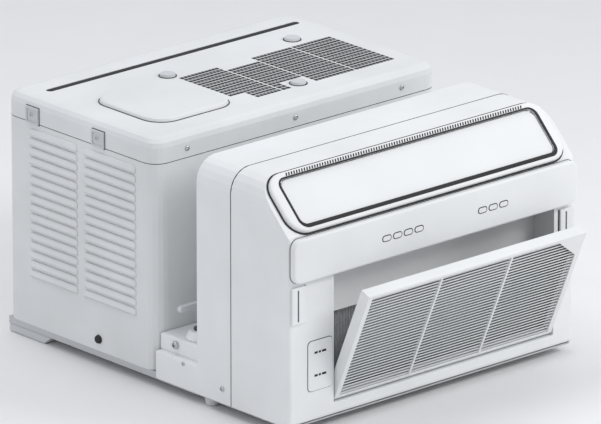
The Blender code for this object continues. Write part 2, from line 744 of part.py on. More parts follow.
def intake_frame():
    """Tray behind the mouth: it carries the panel's pins, two catches and a baffle at its back."""
    x0, z0, x1, z1 = intake_edges()
    wall, lap = FRAME_WALL, 0.001
    front, back = FRONT_Y + SHELL_WALL + CLEAR, -0.200
    frame = box("frame", (x0 - wall, front, z0 - wall), (x1 + wall, back, z1 + wall))
    hollow = box("hollow", (x0, front - PAST, z0), (x1, back + PAST, z1))
    pivot = PANEL_PIVOT
    axle = cylinder(
        "axle", (x0 - PAST, pivot.y, pivot.z), (x1 + PAST, pivot.y, pivot.z), PIN_RADIUS + CLEAR, sides=16)
    frame = cut(frame, hollow, axle)
    baffle = box("baffle", (x0 - lap, back - 0.003, BAFFLE_LOW), (x1 + lap, back - 0.0005, z1 + lap))
    catch_half, catch_drop = 0.004, 0.014
    catches = [
        box("catch", (x - catch_half, -0.2235, z1 - catch_drop), (x + catch_half, -0.2065, z1 + lap))
        for x in (-0.070, 0.176)]
    finish(join(frame, baffle, *catches), "intake_frame", "shell_white")


def panel_windows():
    """The panel's three openings; the right one has its upper outer corner cut off."""
    x0, x1 = PANEL_LEFT + PANEL_BORDER, PANEL_RIGHT - PANEL_BORDER
    z0, z1 = PANEL_PIVOT.z + 0.003, PANEL_TOP - PANEL_BORDER * 0.7
    wide = (x1 - x0 - 2 * PANEL_RIB) / 3
    windows = []
    for number in range(3):
        left = x0 + number * (wide + PANEL_RIB)
        right = left + wide
        points = [(left, z0), (right, z0), (right, z1), (left, z1)]
        if number == 2:
            points[2:3] = [(right, z1 - WINDOW_CUT_Z), (right - WINDOW_CUT_X, z1)]
        windows.append(points)
    return windows


def panel_pose(obj):
    """Turns a piece that was made with the panel shut to the open stop."""
    pivot = Matrix.Translation(PANEL_PIVOT)
    return turned(obj, pivot @ Matrix.Rotation(PANEL_OPEN, 4, "X") @ pivot.inverted())


def front_panel():
    """Tray with three slatted windows, made shut and then turned to its open stop."""
    half = PANEL_THICK / 2
    y, z = PANEL_PIVOT.y, PANEL_PIVOT.z
    side = [(y + half, PANEL_TOP), (y - half, PANEL_TOP)]
    for step in range(7):
        angle = math.radians(180 + 30 * step)
        side.append((y + half * math.cos(angle), z + half * math.sin(angle)))
    panel = outline("panel", side, "X", PANEL_LEFT, PANEL_RIGHT)
    recess_front, rim = y + half - 0.004, 0.005
    x0, x1 = PANEL_LEFT + rim, PANEL_RIGHT - rim
    recess = box("recess", (x0, recess_front, z - 0.001), (x1, y + half + PAST, PANEL_TOP - 0.004))
    panel = cut(panel, recess)
    windows = panel_windows()
    for points in windows:
        panel = cut(panel, outline("window", points, "Y", y - half - PAST, y + half + PAST))
    low, high = windows[0][0][1], windows[0][2][1]
    panel = join(panel, *panel_slats(low, high, y - half + 0.001))
    reach, lap = FRAME_GAP + FRAME_WALL - CLEAR, 0.004
    pins = [
        cylinder("pin", (PANEL_LEFT - reach, y, z), (PANEL_LEFT + lap, y, z), PIN_RADIUS, sides=12),
        cylinder("pin", (PANEL_RIGHT - lap, y, z), (PANEL_RIGHT + reach, y, z), PIN_RADIUS, sides=12)]
    finish(panel_pose(join(panel, *pins)), "front_panel", "shell_white")
    gap, mesh_thick = 0.0005, 0.0015
    mesh_front = recess_front + CLEAR
    mesh = box("mesh", (x0 + gap, mesh_front, z), (x1 - gap, mesh_front + mesh_thick, PANEL_TOP - rim))
    finish(panel_pose(mesh), "air_filter", "filter_mesh")


def panel_slats(low, high, front):
    """Slats across all three windows, shorter beside the cut-off corner."""
    depth, half_thick, lap, corner_lap = 0.007, 0.0012, 0.008, 0.030
    pitch = (high - low) / (SLAT_COUNT + 1)
    slats = []
    for row in range(1, SLAT_COUNT + 1):
        middle = low + row * pitch
        right = PANEL_RIGHT - (lap if middle < high - WINDOW_CUT_Z - 0.002 else corner_lap)
        slats.append(box(
            "slat", (PANEL_LEFT + lap, front, middle - half_thick),
            (right, front + depth, middle + half_thick)))
    return slats


def front_trim():
    plate_low, plate_high, plate_thick = (-0.244, 0.051), (-0.1975, 0.127), 0.0011
    points = rounded(*plate_low, *plate_high, [0.006] * 4, 3)
    finish(outline("plate", points, "Y", FRONT_Y - plate_thick, FRONT_Y - CLEAR), "side_plate", "trim_grey")
    grip_low, grip_high, grip_proud, rim = 0.160, 0.216, 0.004, 0.004
    for side, word in ((-1, "left"), (1, "right")):
        near, far = sorted((side * 0.2500, side * 0.2770))
        grip = box("grip", (near, FRONT_Y - grip_proud, grip_low), (far, FRONT_Y - CLEAR, grip_high))
        groove = box(
            "groove", (near + 0.010, FRONT_Y - PAST, grip_low + rim),
            (near + 0.013, FRONT_Y - 0.002, grip_high - rim))
        finish(cut(bevel(grip, 0.001, 1), groove), f"corner_grip_{word}", "shell_white")


def indoor_works():
    x0, _, x1, _ = intake_edges()
    coil = box("coil", (x0, -0.195, SLAB_LOW), (x1, -0.160, BAFFLE_LOW + 0.015))
    finish(coil, "evaporator_coil", "aluminium_fin")
    blower_wheel()
    y, z = BLOWER_CENTRE.y, BLOWER_CENTRE.z
    motor = cylinder("motor", (BLOWER_MOTOR_X, y, z), (0.250, y, z), 0.036)
    finish(bevel(motor, 0.003), "blower_motor", "steel")
    board_front, board_thick = FRONT_Y + 0.0032, 0.0016
    board = box("board", (-0.125, board_front, 0.234), (0.150, board_front + board_thick, 0.274))
    finish(board, "control_board", "board_green")


def blower_wheel():
    """A fluted drum with its shaft, short of the motor by the usual clearance."""
    y, z = BLOWER_CENTRE.y, BLOWER_CENTRE.z
    blades, flute, wheel_end = 20, 0.009, 0.170
    teeth = []
    for step in range(blades * 4):
        radius = BLOWER_RADIUS if step % 4 < 2 else BLOWER_RADIUS - flute
        angle = 2 * math.pi * (step + (0.5 if step % 4 in (1, 3) else 0)) / (blades * 4)
        teeth.append((y + radius * math.cos(angle), z + radius * math.sin(angle)))
    wheel = outline("wheel", teeth, "X", -0.235, wheel_end)
    shaft = cylinder("shaft", (wheel_end - 0.002, y, z), (BLOWER_MOTOR_X - CLEAR, y, z), 0.005, sides=12)
    finish(join(wheel, shaft), "blower_wheel", "dark_plastic")


clear_scene()
PARTS = collection()
base_pan()
feet()
bridge()
bridge_fittings()
rear_casing()
lid()
lid_fittings()
outdoor_works()
condenser_fan()
front_shell()
back_shell()
outlet_rim()
louver_flap()
vanes()
display_band()
intake_frame()
front_panel()
front_trim()
indoor_works()
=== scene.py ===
"""Looks of the window air conditioner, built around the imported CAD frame."""

import json
import math

import bmesh
import bpy
from mathutils import Matrix, Vector


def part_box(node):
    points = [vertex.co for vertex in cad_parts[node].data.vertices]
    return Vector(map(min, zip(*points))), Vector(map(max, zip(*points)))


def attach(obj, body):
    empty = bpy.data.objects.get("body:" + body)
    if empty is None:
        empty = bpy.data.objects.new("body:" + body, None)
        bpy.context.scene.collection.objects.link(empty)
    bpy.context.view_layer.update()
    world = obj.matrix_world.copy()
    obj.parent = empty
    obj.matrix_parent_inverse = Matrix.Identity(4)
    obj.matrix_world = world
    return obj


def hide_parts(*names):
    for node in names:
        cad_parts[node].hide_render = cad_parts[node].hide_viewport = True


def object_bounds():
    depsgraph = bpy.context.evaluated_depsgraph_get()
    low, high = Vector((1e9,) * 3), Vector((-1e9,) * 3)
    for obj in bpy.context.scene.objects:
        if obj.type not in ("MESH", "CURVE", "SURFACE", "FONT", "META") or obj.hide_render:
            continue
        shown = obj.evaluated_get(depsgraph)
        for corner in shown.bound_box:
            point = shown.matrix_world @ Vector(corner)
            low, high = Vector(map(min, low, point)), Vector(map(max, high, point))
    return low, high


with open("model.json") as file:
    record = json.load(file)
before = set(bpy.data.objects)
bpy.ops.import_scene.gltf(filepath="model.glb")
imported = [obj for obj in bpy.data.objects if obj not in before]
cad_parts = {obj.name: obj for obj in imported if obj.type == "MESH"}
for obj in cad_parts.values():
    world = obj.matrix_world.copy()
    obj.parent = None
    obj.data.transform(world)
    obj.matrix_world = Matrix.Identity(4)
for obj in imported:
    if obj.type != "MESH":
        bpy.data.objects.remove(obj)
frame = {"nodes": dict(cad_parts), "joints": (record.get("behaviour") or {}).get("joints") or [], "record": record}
cad_low, cad_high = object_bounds()

SIDES = ((-1, "left"), (1, "right"))

# Up the outlet's 45 degree slope, and straight out of it
ALONG = Vector((0, 1, 1)).normalized()
OUT = Vector((0, -1, 1)).normalized()

# The gap that the CAD leaves between neighbouring solids
CLEAR = 0.0003

# The rim's window as it lies on the slope
WINDOW_HALF = 0.250
WINDOW_SPAN = 0.078
WINDOW_CORNER = 0.012
RIM_HEIGHT = 0.008

# Casing and lid, laid out like the CAD ones; flat boxes are (x0, y0, x1, y1)
CASING_CORNER = 0.025
GROOVE = (-0.242, 0.323, 0.254, 0.336)
GROOVE_DEPTH = 0.0012
PAD = (-0.225, 0.099, -0.071, 0.253)
PAD_CORNER = 0.034
VENT_ROWS = 15
VENT_LOW = 0.101
VENT_PITCH = 0.0098
VENT_WIDE = 0.0082
LOUVRE_ROWS = 16
LOUVRE_LOW = 0.090
LOUVRE_PITCH = 0.0146
LOUVRE_SLOT = 0.004
HOOD_COLUMNS = ((0.088, 0.203), (0.218, 0.325))

# The gusset across the intake panel's upper corner
GUSSET_WIDE = 0.044
GUSSET_TALL = 0.034

MOTOR_RADIUS = 0.040
MOTOR_RIBS = (0.012, 0.018, 0.024, 0.036, 0.042, 0.048)

# Relays, chips and connectors on the board: x and z from its corner, then width, height and depth
BOARD_BLOCKS = (
    (0.012, 0.006, 0.019, 0.015, 0.015), (0.036, 0.006, 0.019, 0.015, 0.015),
    (0.062, 0.008, 0.028, 0.022, 0.012), (0.100, 0.010, 0.010, 0.010, 0.0022),
    (0.118, 0.007, 0.016, 0.016, 0.0026), (0.145, 0.012, 0.007, 0.012, 0.0020),
    (0.200, 0.004, 0.024, 0.006, 0.009), (0.232, 0.004, 0.016, 0.006, 0.009),
    (0.012, 0.030, 0.040, 0.006, 0.009))

# Capacitors on the board: x and z from its corner, then radius and depth
BOARD_CANS = ((0.165, 0.020, 0.0060, 0.016), (0.182, 0.020, 0.0060, 0.016), (0.170, 0.034, 0.0035, 0.010))


# Places read from the frame ----------------------------------------------------------------

def joint(name):
    return next(item for item in frame["joints"] if item["name"] == name)


def low(node):
    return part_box(node)[0]


def high(node):
    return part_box(node)[1]


def centre(node):
    return (low(node) + high(node)) / 2


def flat_box(node, axes):
    """Two axes of a node's box, such as "xz", as (u0, v0, u1, v1)."""
    return [getattr(corner, axis) for corner in (low(node), high(node)) for axis in axes]


def rim_extent(direction):
    """The outlet rim's lowest and highest reach along a direction."""
    reach = [vert.co.dot(direction) for vert in frame["nodes"]["outlet_rim"].data.vertices]
    return min(reach), max(reach)


def lid_sheet():
    """Height of the lid's flat sheet, a clearance under the plugs."""
    return low("lid_plug_1").z - CLEAR


# The foot of the outlet rim at the middle of the slope
SLOPE_MIDDLE = ALONG * sum(rim_extent(ALONG)) / 2 + OUT * rim_extent(OUT)[0]


# Outlines and the planes they are drawn in -------------------------------------------------

def circle(radius, steps):
    turns = [2 * math.pi * i / steps for i in range(steps)]
    return [(radius * math.cos(turn), radius * math.sin(turn)) for turn in turns]


def rounded(u0, v0, u1, v1, radii, steps=8):
    """A rectangle with rounded corners, from the lower left one round to the upper left one."""
    corners = ((u0, v0, 1, 1, 180), (u1, v0, -1, 1, 270), (u1, v1, -1, -1, 0), (u0, v1, 1, -1, 90))
    points = []
    for (u, v, du, dv, start), radius in zip(corners, radii):
        for step in range(steps + 1):
            angle = math.radians(start + 90 * step / steps)
            points.append((
                u + du * radius + radius * math.cos(angle),
                v + dv * radius + radius * math.sin(angle)))
    return points


def inset_loop(flat, inset, radius, steps=8):
    """A rounded outline inside a flat box, or outside it where the inset is negative."""
    u0, v0, u1, v1 = flat
    return rounded(u0 + inset, v0 + inset, u1 - inset, v1 - inset, [radius] * 4, steps)


def slope_loop(half_x, half, corner):
    return rounded(-half_x, -half, half_x, half, [corner] * 4, 10)


def place_z(u, v, w):
    return Vector((u, v, w))


def place_y(u, v, w):
    return Vector((u, w, v))


def place_x(u, v, w):
    return Vector((w, u, v))


def place_slope(u, v, w):
    """Across, up the slope, and out of it."""
    return SLOPE_MIDDLE + Vector((u, 0, 0)) + ALONG * v + OUT * w


def placed(matrix):
    return lambda u, v, w: matrix @ Vector((u, v, w))


def along_y(point):
    """Turns the Z axis to +Y and moves it to a point."""
    return Matrix.Translation(point) @ Matrix.Rotation(math.radians(-90), 4, "X")


# Mesh helpers ------------------------------------------------------------------------------

def block(bm, start, end, matrix=None):
    start, end = Vector(start), Vector(end)
    verts = bmesh.ops.create_cube(bm, size=1)["verts"]
    bmesh.ops.scale(bm, vec=end - start, verts=verts)
    bmesh.ops.translate(bm, vec=(start + end) / 2, verts=verts)
    if matrix is not None:
        bmesh.ops.transform(bm, matrix=matrix, verts=verts)


def rod(bm, start, end, radius, end_radius=None, sides=20):
    start, end = Vector(start), Vector(end)
    verts = bmesh.ops.create_cone(
        bm, cap_ends=True, segments=sides, radius1=radius,
        radius2=radius if end_radius is None else end_radius, depth=(end - start).length)["verts"]
    turn = Vector((0, 0, 1)).rotation_difference(end - start).to_matrix().to_4x4()
    bmesh.ops.transform(bm, matrix=Matrix.Translation((start + end) / 2) @ turn, verts=verts)
    return verts


def walls(bm, one, two):
    """Faces between two closed rows of vertices."""
    for i in range(len(one)):
        j = (i + 1) % len(one)
        bm.faces.new((one[i], one[j], two[j], two[i]))


def prism(bm, outline, place, start, end):
    """A solid with this outline, from start to end along the third axis."""
    lower = [bm.verts.new(place(u, v, start)) for u, v in outline]
    upper = [bm.verts.new(place(u, v, end)) for u, v in outline]
    bm.faces.new(list(reversed(lower)))
    bm.faces.new(upper)
    walls(bm, lower, upper)


def band(bm, outer, inner, place, start, end):
    """A flat ring between two loops, from start to end along the third axis."""
    rings = [
        [bm.verts.new(place(u, v, w)) for u, v in loop]
        for loop, w in ((outer, start), (outer, end), (inner, end), (inner, start))]
    for one, two in zip(rings, rings[1:] + rings[:1]):
        walls(bm, one, two)


def lathe(bm, profile, matrix, steps=32):
    """Turns (radius, height) points, axis to axis, about Z and then places them."""
    rings = []
    for radius, height in profile:
        points = circle(radius, steps) if radius else [(0, 0)]
        rings.append([bm.verts.new(matrix @ Vector((x, y, height))) for x, y in points])
    for lower, upper in zip(rings, rings[1:]):
        for i in range(steps):
            j = (i + 1) % steps
            corners = [
                lower[i % len(lower)], lower[j % len(lower)],
                upper[j % len(upper)], upper[i % len(upper)]]
            bm.faces.new(list(dict.fromkeys(corners)))


def lathe_ring(bm, inner, outer, start, end, matrix, steps=32):
    band(bm, circle(outer, steps), circle(inner, steps), placed(matrix), start, end)


def sheet_grid(bm, rows):
    """An open surface through rows of points, thickened later by Solidify."""
    made = [[bm.verts.new(point) for point in row] for row in rows]
    for one, two in zip(made, made[1:]):
        for i in range(len(one) - 1):
            bm.faces.new((one[i], one[i + 1], two[i + 1], two[i]))


def subtract(obj, bm):
    """Cuts a closed mesh out of a piece and applies the cut."""
    bmesh.ops.recalc_face_normals(bm, faces=bm.faces)
    mesh = bpy.data.meshes.new("cutter")
    bm.to_mesh(mesh)
    bm.free()
    tool = bpy.data.objects.new("cutter", mesh)
    bpy.context.scene.collection.objects.link(tool)
    modifier = obj.modifiers.new("cut", "BOOLEAN")
    modifier.object = tool
    bpy.context.view_layer.update()
    made = bpy.data.meshes.new_from_object(obj.evaluated_get(bpy.context.evaluated_depsgraph_get()))
    obj.modifiers.clear()
    obj.data = made
    bpy.data.objects.remove(tool)


def smooth(mesh, angle):
    mesh.shade_smooth()
    mesh.set_sharp_from_angle(angle=math.radians(angle))


def add_bevel(obj, width, segments=3, angle=40):
    edge = obj.modifiers.new("edge", "BEVEL")
    edge.width = width
    edge.segments = segments
    edge.limit_method = "ANGLE"
    edge.angle_limit = math.radians(angle)


def piece(name, bm, material, body="root", replaces=(), bevel=0.0, thickness=0.0):
    bmesh.ops.recalc_face_normals(bm, faces=bm.faces)
    mesh = bpy.data.meshes.new(name)
    bm.to_mesh(mesh)
    bm.free()
    obj = bpy.data.objects.new(name, mesh)
    bpy.context.scene.collection.objects.link(obj)
    mesh.materials.append(material)
    if thickness:
        solid = obj.modifiers.new("thickness", "SOLIDIFY")
        solid.thickness = thickness
        solid.offset = 0
    if bevel:
        add_bevel(obj, bevel)
    smooth(mesh, 35)
    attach(obj, body)
    if replaces:
        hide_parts(*replaces)
    return obj


# Materials ---------------------------------------------------------------------------------

def new_material(name, color, roughness, metallic=0.0):
    made = bpy.data.materials.new(name)
    made.use_nodes = True
    shader = made.node_tree.nodes["Principled BSDF"]
    shader.inputs["Base Color"].default_value = (*color, 1)
    shader.inputs["Roughness"].default_value = roughness
    shader.inputs["Metallic"].default_value = metallic
    return made, made.node_tree, shader


def node(tree, kind, **values):
    made = tree.nodes.new(kind)
    for key, value in values.items():
        made.inputs[key].default_value = value
    return made


def noise(tree, scale, detail=4.0, stretch=(1, 1, 1)):
    coords = node(tree, "ShaderNodeTexCoord")
    mapping = node(tree, "ShaderNodeMapping", Scale=stretch)
    texture = node(tree, "ShaderNodeTexNoise", Scale=scale, Detail=detail)
    tree.links.new(coords.outputs["Object"], mapping.inputs["Vector"])
    tree.links.new(mapping.outputs["Vector"], texture.inputs["Vector"])
    return texture.outputs["Fac"]


def ramp(tree, source, first, second, start=0.3, end=0.7):
    made = node(tree, "ShaderNodeValToRGB")
    for element, position, color in zip(made.color_ramp.elements, (start, end), (first, second)):
        element.position = position
        element.color = (*color, 1)
    tree.links.new(source, made.inputs["Fac"])
    return made.outputs["Color"]


def grain(tree, shader, source, strength, distance):
    made = node(tree, "ShaderNodeBump", Strength=strength, Distance=distance)
    tree.links.new(source, made.inputs["Height"])
    tree.links.new(made.outputs["Normal"], shader.inputs["Normal"])


def shaded(color, factor):
    return tuple(min(1.0, part * factor) for part in color)


def moulded(name, color, roughness, grain_scale=900, depth=0.00006, drift=0.05):
    """Moulded plastic: spark-eroded grain, slow colour drift and uneven gloss."""
    made, tree, shader = new_material(name, color, roughness)
    slow = noise(tree, 9.0, 3.0)
    tone = ramp(tree, slow, shaded(color, 1 - drift), shaded(color, 1 + drift * 0.4))
    tree.links.new(tone, shader.inputs["Base Color"])
    gloss = node(tree, "ShaderNodeMapRange", **{"To Min": roughness - 0.06, "To Max": roughness + 0.08})
    tree.links.new(noise(tree, 40.0), gloss.inputs["Value"])
    tree.links.new(gloss.outputs["Result"], shader.inputs["Roughness"])
    grain(tree, shader, noise(tree, grain_scale, 2.0), 0.5, depth)
    return made


def brushed(name, color, roughness, stretch=(1, 30, 30), metallic=1.0):
    """Drawn metal: streaks in the colour and in the surface."""
    made, tree, shader = new_material(name, color, roughness, metallic)
    streaks = noise(tree, 60.0, 5.0, stretch)
    tone = ramp(tree, streaks, shaded(color, 0.8), shaded(color, 1.1))
    tree.links.new(tone, shader.inputs["Base Color"])
    grain(tree, shader, streaks, 0.3, 0.00005)
    return made


WHITE = moulded("shell_white", (0.80, 0.81, 0.81), 0.42)
FLAP_WHITE = moulded("flap_white", (0.78, 0.79, 0.79), 0.40, 700, 0.00003, 0.03)
CASING = moulded("casing_white", (0.74, 0.75, 0.75), 0.50, 420, 0.00012, 0.06)
TRIM = moulded("trim_grey", (0.58, 0.60, 0.61), 0.45)
DARK = moulded("dark_plastic", (0.045, 0.047, 0.05), 0.50)
# Near-black for real seams and marks, and for painted shade: strips set into gaps, grooves and slots where shade
# falls
SEAM_AND_SHADE = moulded("seam_and_painted_shade", (0.018, 0.018, 0.019), 0.75)
MESH = moulded("filter_mesh", (0.11, 0.115, 0.12), 0.65, 1500)
SLAT = moulded("slat_white", (0.76, 0.77, 0.77), 0.45)
RUBBER = moulded("rubber", (0.025, 0.025, 0.026), 0.80, 600)
BLACK = moulded("black_enamel", (0.035, 0.035, 0.037), 0.35, 300)
BOARD = moulded("board_green", (0.03, 0.16, 0.07), 0.50)
STEEL = brushed("steel", (0.60, 0.61, 0.62), 0.34)
FINS = brushed("fins", (0.78, 0.79, 0.80), 0.42, (40, 2, 2), 0.5)
COPPER = brushed("copper", (0.70, 0.38, 0.22), 0.30, (4, 4, 30))

SLOT_LOOKS = {
    "shell_white": WHITE, "casing_white": CASING, "trim_grey": TRIM, "dark_plastic": DARK,
    "filter_mesh": MESH, "steel": STEEL, "aluminium_fin": FINS, "copper": COPPER,
    "black_metal": BLACK, "rubber": RUBBER, "board_green": BOARD}


def dress_nodes():
    """Materials for the CAD nodes, by slot, with a smoother white on the flap, plate and buttons."""
    slots = {part["node"]: part["material_slot"] for part in frame["record"]["subparts"]}
    for name, obj in frame["nodes"].items():
        is_smooth = name in ("louver_flap", "side_plate") or name.startswith("button_")
        obj.data.materials.clear()
        obj.data.materials.append(FLAP_WHITE if is_smooth else SLOT_LOOKS[slots[name]])
        smooth(obj.data, 30)


# Camera, light and floor --------------------------------------------------------------------

def add_camera():
    """A long lens from the front left, close to the drawing's parallel view."""
    azimuth, elevation = math.radians(-41.9), math.radians(18.9)
    focal, frame_width = 600, 0.881
    target = Vector((-0.0207, 0.0186, 0.2068))
    data = bpy.data.cameras.new("camera")
    data.lens = focal
    data.clip_end = 100
    camera = bpy.data.objects.new("camera", data)
    bpy.context.scene.collection.objects.link(camera)
    back = Vector((
        math.sin(azimuth) * math.cos(elevation),
        -math.cos(azimuth) * math.cos(elevation),
        math.sin(elevation)))
    camera.location = target + back * frame_width * focal / data.sensor_width
    camera.rotation_euler = (-back).to_track_quat("-Z", "Y").to_euler()
    bpy.context.scene.camera = camera


def area_light(name, place, size, power):
    aim = Vector((0, 0.05, 0.18))
    data = bpy.data.lights.new(name, "AREA")
    data.size = size
    data.energy = power
    light = bpy.data.objects.new(name, data)
    light.location = place
    light.rotation_euler = (aim - Vector(place)).to_track_quat("-Z", "Y").to_euler()
    bpy.context.scene.collection.objects.link(light)


def add_studio():
    world = bpy.data.worlds.new("studio")
    world.use_nodes = True
    world.node_tree.nodes["Background"].inputs["Color"].default_value = (0.93, 0.95, 1.0, 1)
    world.node_tree.nodes["Background"].inputs["Strength"].default_value = 0.70
    bpy.context.scene.world = world
    area_light("key", (1.2, -2.0, 1.9), 1.0, 30)
    area_light("top", (-0.5, 0.7, 2.4), 1.4, 14)
    area_light("fill", (-2.2, -0.3, 0.9), 1.6, 2)
    bm = bmesh.new()
    bmesh.ops.create_grid(bm, x_segments=1, y_segments=1, size=30)
    bmesh.ops.translate(bm, vec=(0, 0, cad_low.z - 0.0005), verts=bm.verts)
    mesh = bpy.data.meshes.new("floor")
    bm.to_mesh(mesh)
    bm.free()
    floor = bpy.data.objects.new("floor", mesh)
    bpy.context.scene.collection.objects.link(floor)
    mesh.materials.append(moulded("floor_pale", (0.86, 0.86, 0.86), 0.7, 200, 0.0001, 0.01))
    bpy.context.scene.view_settings.view_transform = "Standard"


# Outdoor unit -------------------------------------------------------------------------------

def hood_stations(y0, y1):
    """Stations along a hood as (reach, y), rounded off at both ends."""
    taper, steps = 0.007, 4
    stations = []
    for step in range(steps + 1):
        turn = math.radians(90 * step / steps)
        stations.append((math.sin(turn), y0 + taper * (1 - math.cos(turn))))
    return stations + [(reach, y1 - (y - y0)) for reach, y in reversed(stations)]


def louvre_hoods():
    """Pressed hoods over the casing's side slots: closed at the top and ends, open below."""
    depth, rise, drop, steps = 0.0026, 0.0062, 0.0006, 6
    wall = high("rear_casing").x + 0.0002
    for side, word in SIDES:
        bm = bmesh.new()
        for row in range(LOUVRE_ROWS):
            slot_low = LOUVRE_LOW + row * LOUVRE_PITCH
            for y0, y1 in HOOD_COLUMNS:
                grid = []
                for reach, y in hood_stations(y0, y1):
                    top = slot_low + LOUVRE_SLOT + rise * reach
                    line = []
                    for step in range(steps + 1):
                        turn = math.radians(90 * step / steps)
                        fall = (top - slot_low + drop) * (1 - math.cos(turn))
                        line.append((side * (wall + depth * reach * math.sin(turn)), y, top - fall))
                    grid.append(line)
                sheet_grid(bm, grid)
        piece(f"louvre_hoods_{word}", bm, CASING, thickness=0.0005)


def lid_gap_shade():
    """Painted shadow: a dark strip in the gap between the casing and the lid, where shade falls."""
    flat, play = flat_box("rear_casing", "xy"), 0.0001
    outer, inner = (inset_loop(flat, inset, CASING_CORNER - inset, 12) for inset in (0.0004, 0.0014))
    bm = bmesh.new()
    band(bm, outer, inner, place_z, high("rear_casing").z + play, low("lid").z - play)
    piece("lid_gap_shade", bm, SEAM_AND_SHADE)


def groove_shade():
    """Painted shade: a dark strip in the floor of the lid's groove, where shade falls."""
    floor = lid_sheet() - GROOVE_DEPTH
    inset, corner, sunk, proud = 0.0008, 0.0053, 0.0002, 0.0007
    bm = bmesh.new()
    prism(bm, inset_loop(GROOVE, inset, corner, 6), place_z, floor - sunk, floor + proud)
    piece("groove_shade", bm, SEAM_AND_SHADE)


def vent_openings():
    """The lid's slots as flat boxes, laid out like the CAD lid's."""
    near_step, plug_step, far_step = 0.122, 0.125, 0.219
    openings = []
    for row in range(VENT_ROWS):
        y = VENT_LOW + row * VENT_PITCH
        left = -0.058 if y > near_step else -0.031
        spans = [(left, 0.017), (0.0195, 0.082), (0.0845, 0.162), (0.1645, 0.241)]
        if y < plug_step:
            spans[1] = (0.0195, 0.036)
        if y > far_step:
            del spans[1]
        openings += [(x0, y, x1, y + VENT_WIDE) for x0, x1 in spans]
    return openings


def vent_grid():
    """Painted shade: dark strips set into the lid's slots, where the slots lie in shade, crossed by fine ribs."""
    sheet = lid_sheet()
    shade_low, shade_high = sheet - 0.0016, sheet - 0.0001
    rib_low, rib_high = sheet - 0.00005, sheet + 0.0003
    gap, pitch, half = 0.00015, 0.0070, 0.00035
    strips, ribs = bmesh.new(), bmesh.new()
    for x0, y0, x1, y1 in vent_openings():
        near, far = y0 + gap, y1 - gap
        block(strips, (x0 + gap, near, shade_low), (x1 - gap, far, shade_high))
        count = round((x1 - x0) / pitch)
        for number in range(1, count):
            x = x0 + (x1 - x0) * number / count
            block(ribs, (x - half, near, rib_low), (x + half, far, rib_high))
    piece("vent_slot_shade", strips, SEAM_AND_SHADE)
    piece("vent_ribs", ribs, TRIM)


def lid_lines():
    """Shadow lines round the raised pad and round each plug."""
    sheet = lid_sheet()
    near, far, sunk, proud = 0.0003, 0.0017, 0.0003, 0.0006
    outer, inner = (inset_loop(PAD, -grow, PAD_CORNER + grow, 12) for grow in (far, near))
    bm = bmesh.new()
    band(bm, outer, inner, place_z, sheet - sunk, sheet + proud)
    piece("pad_line", bm, SEAM_AND_SHADE)
    near, far, half_high = 0.0002, 0.0016, 0.0005
    bm = bmesh.new()
    for number in (1, 2, 3):
        x0, y0, x1, y1 = flat_box(f"lid_plug_{number}", "xy")
        radius = (x1 - x0) / 2
        foot = Matrix.Translation(((x0 + x1) / 2, (y0 + y1) / 2, sheet + CLEAR))
        lathe_ring(bm, radius + near, radius + far, -half_high, half_high, foot)
    piece("plug_lines", bm, SEAM_AND_SHADE)


def cross_screw(name, face, direction, radius, height, replaces=()):
    """A pan-head screw standing on a face, with a cross recess cut into it."""
    turn = Vector((0, 0, 1)).rotation_difference(Vector(direction)).to_matrix().to_4x4()
    matrix = Matrix.Translation(face) @ turn
    foot, rim, lean, steps = 0.96, 0.25, 0.35, 5
    profile = [(0, 0), (radius * foot, 0), (radius, height * rim)]
    for step in range(1, steps + 1):
        angle = math.radians(90 * step / steps)
        profile.append((
            radius * (1 - lean * (1 - math.cos(angle))) * math.cos(angle * lean),
            height * (rim + (1 - rim) * math.sin(angle))))
    profile.append((0, height))
    bm = bmesh.new()
    # With 26 sides no edge of the head runs into a corner of the cross
    lathe(bm, profile, matrix, 26)
    head = piece(name, bm, STEEL, replaces=replaces)
    arm, wide, floor = radius * 0.62, radius * 0.15, height * 0.45
    quarter, cross = [(arm, -wide), (arm, wide), (wide, wide)], []
    for _ in range(4):
        cross += quarter
        quarter = [(-v, u) for u, v in quarter]
    cutter = bmesh.new()
    prism(cutter, cross, placed(matrix), floor, height * 2)
    subtract(head, cutter)


def screw(name, node_name, direction, radius, height):
    """A cross screw in place of a plain CAD head."""
    face = centre(node_name) - Vector(direction) * height / 2
    cross_screw(name, face, direction, radius, height, (node_name,))


def all_screws():
    for number in (1, 2, 3):
        screw(f"lid_screw_head_{number}", f"lid_screw_{number}", (0, -1, 0), 0.0042, 0.0020)
    for side, word in SIDES:
        screw(f"shell_screw_head_{word}", f"shell_screw_{word}", (side, 0, 0), 0.0042, 0.0020)
        screw(f"bridge_screw_head_{word}", f"bridge_screw_{word}", (side, 0, 0), 0.0060, 0.0048)


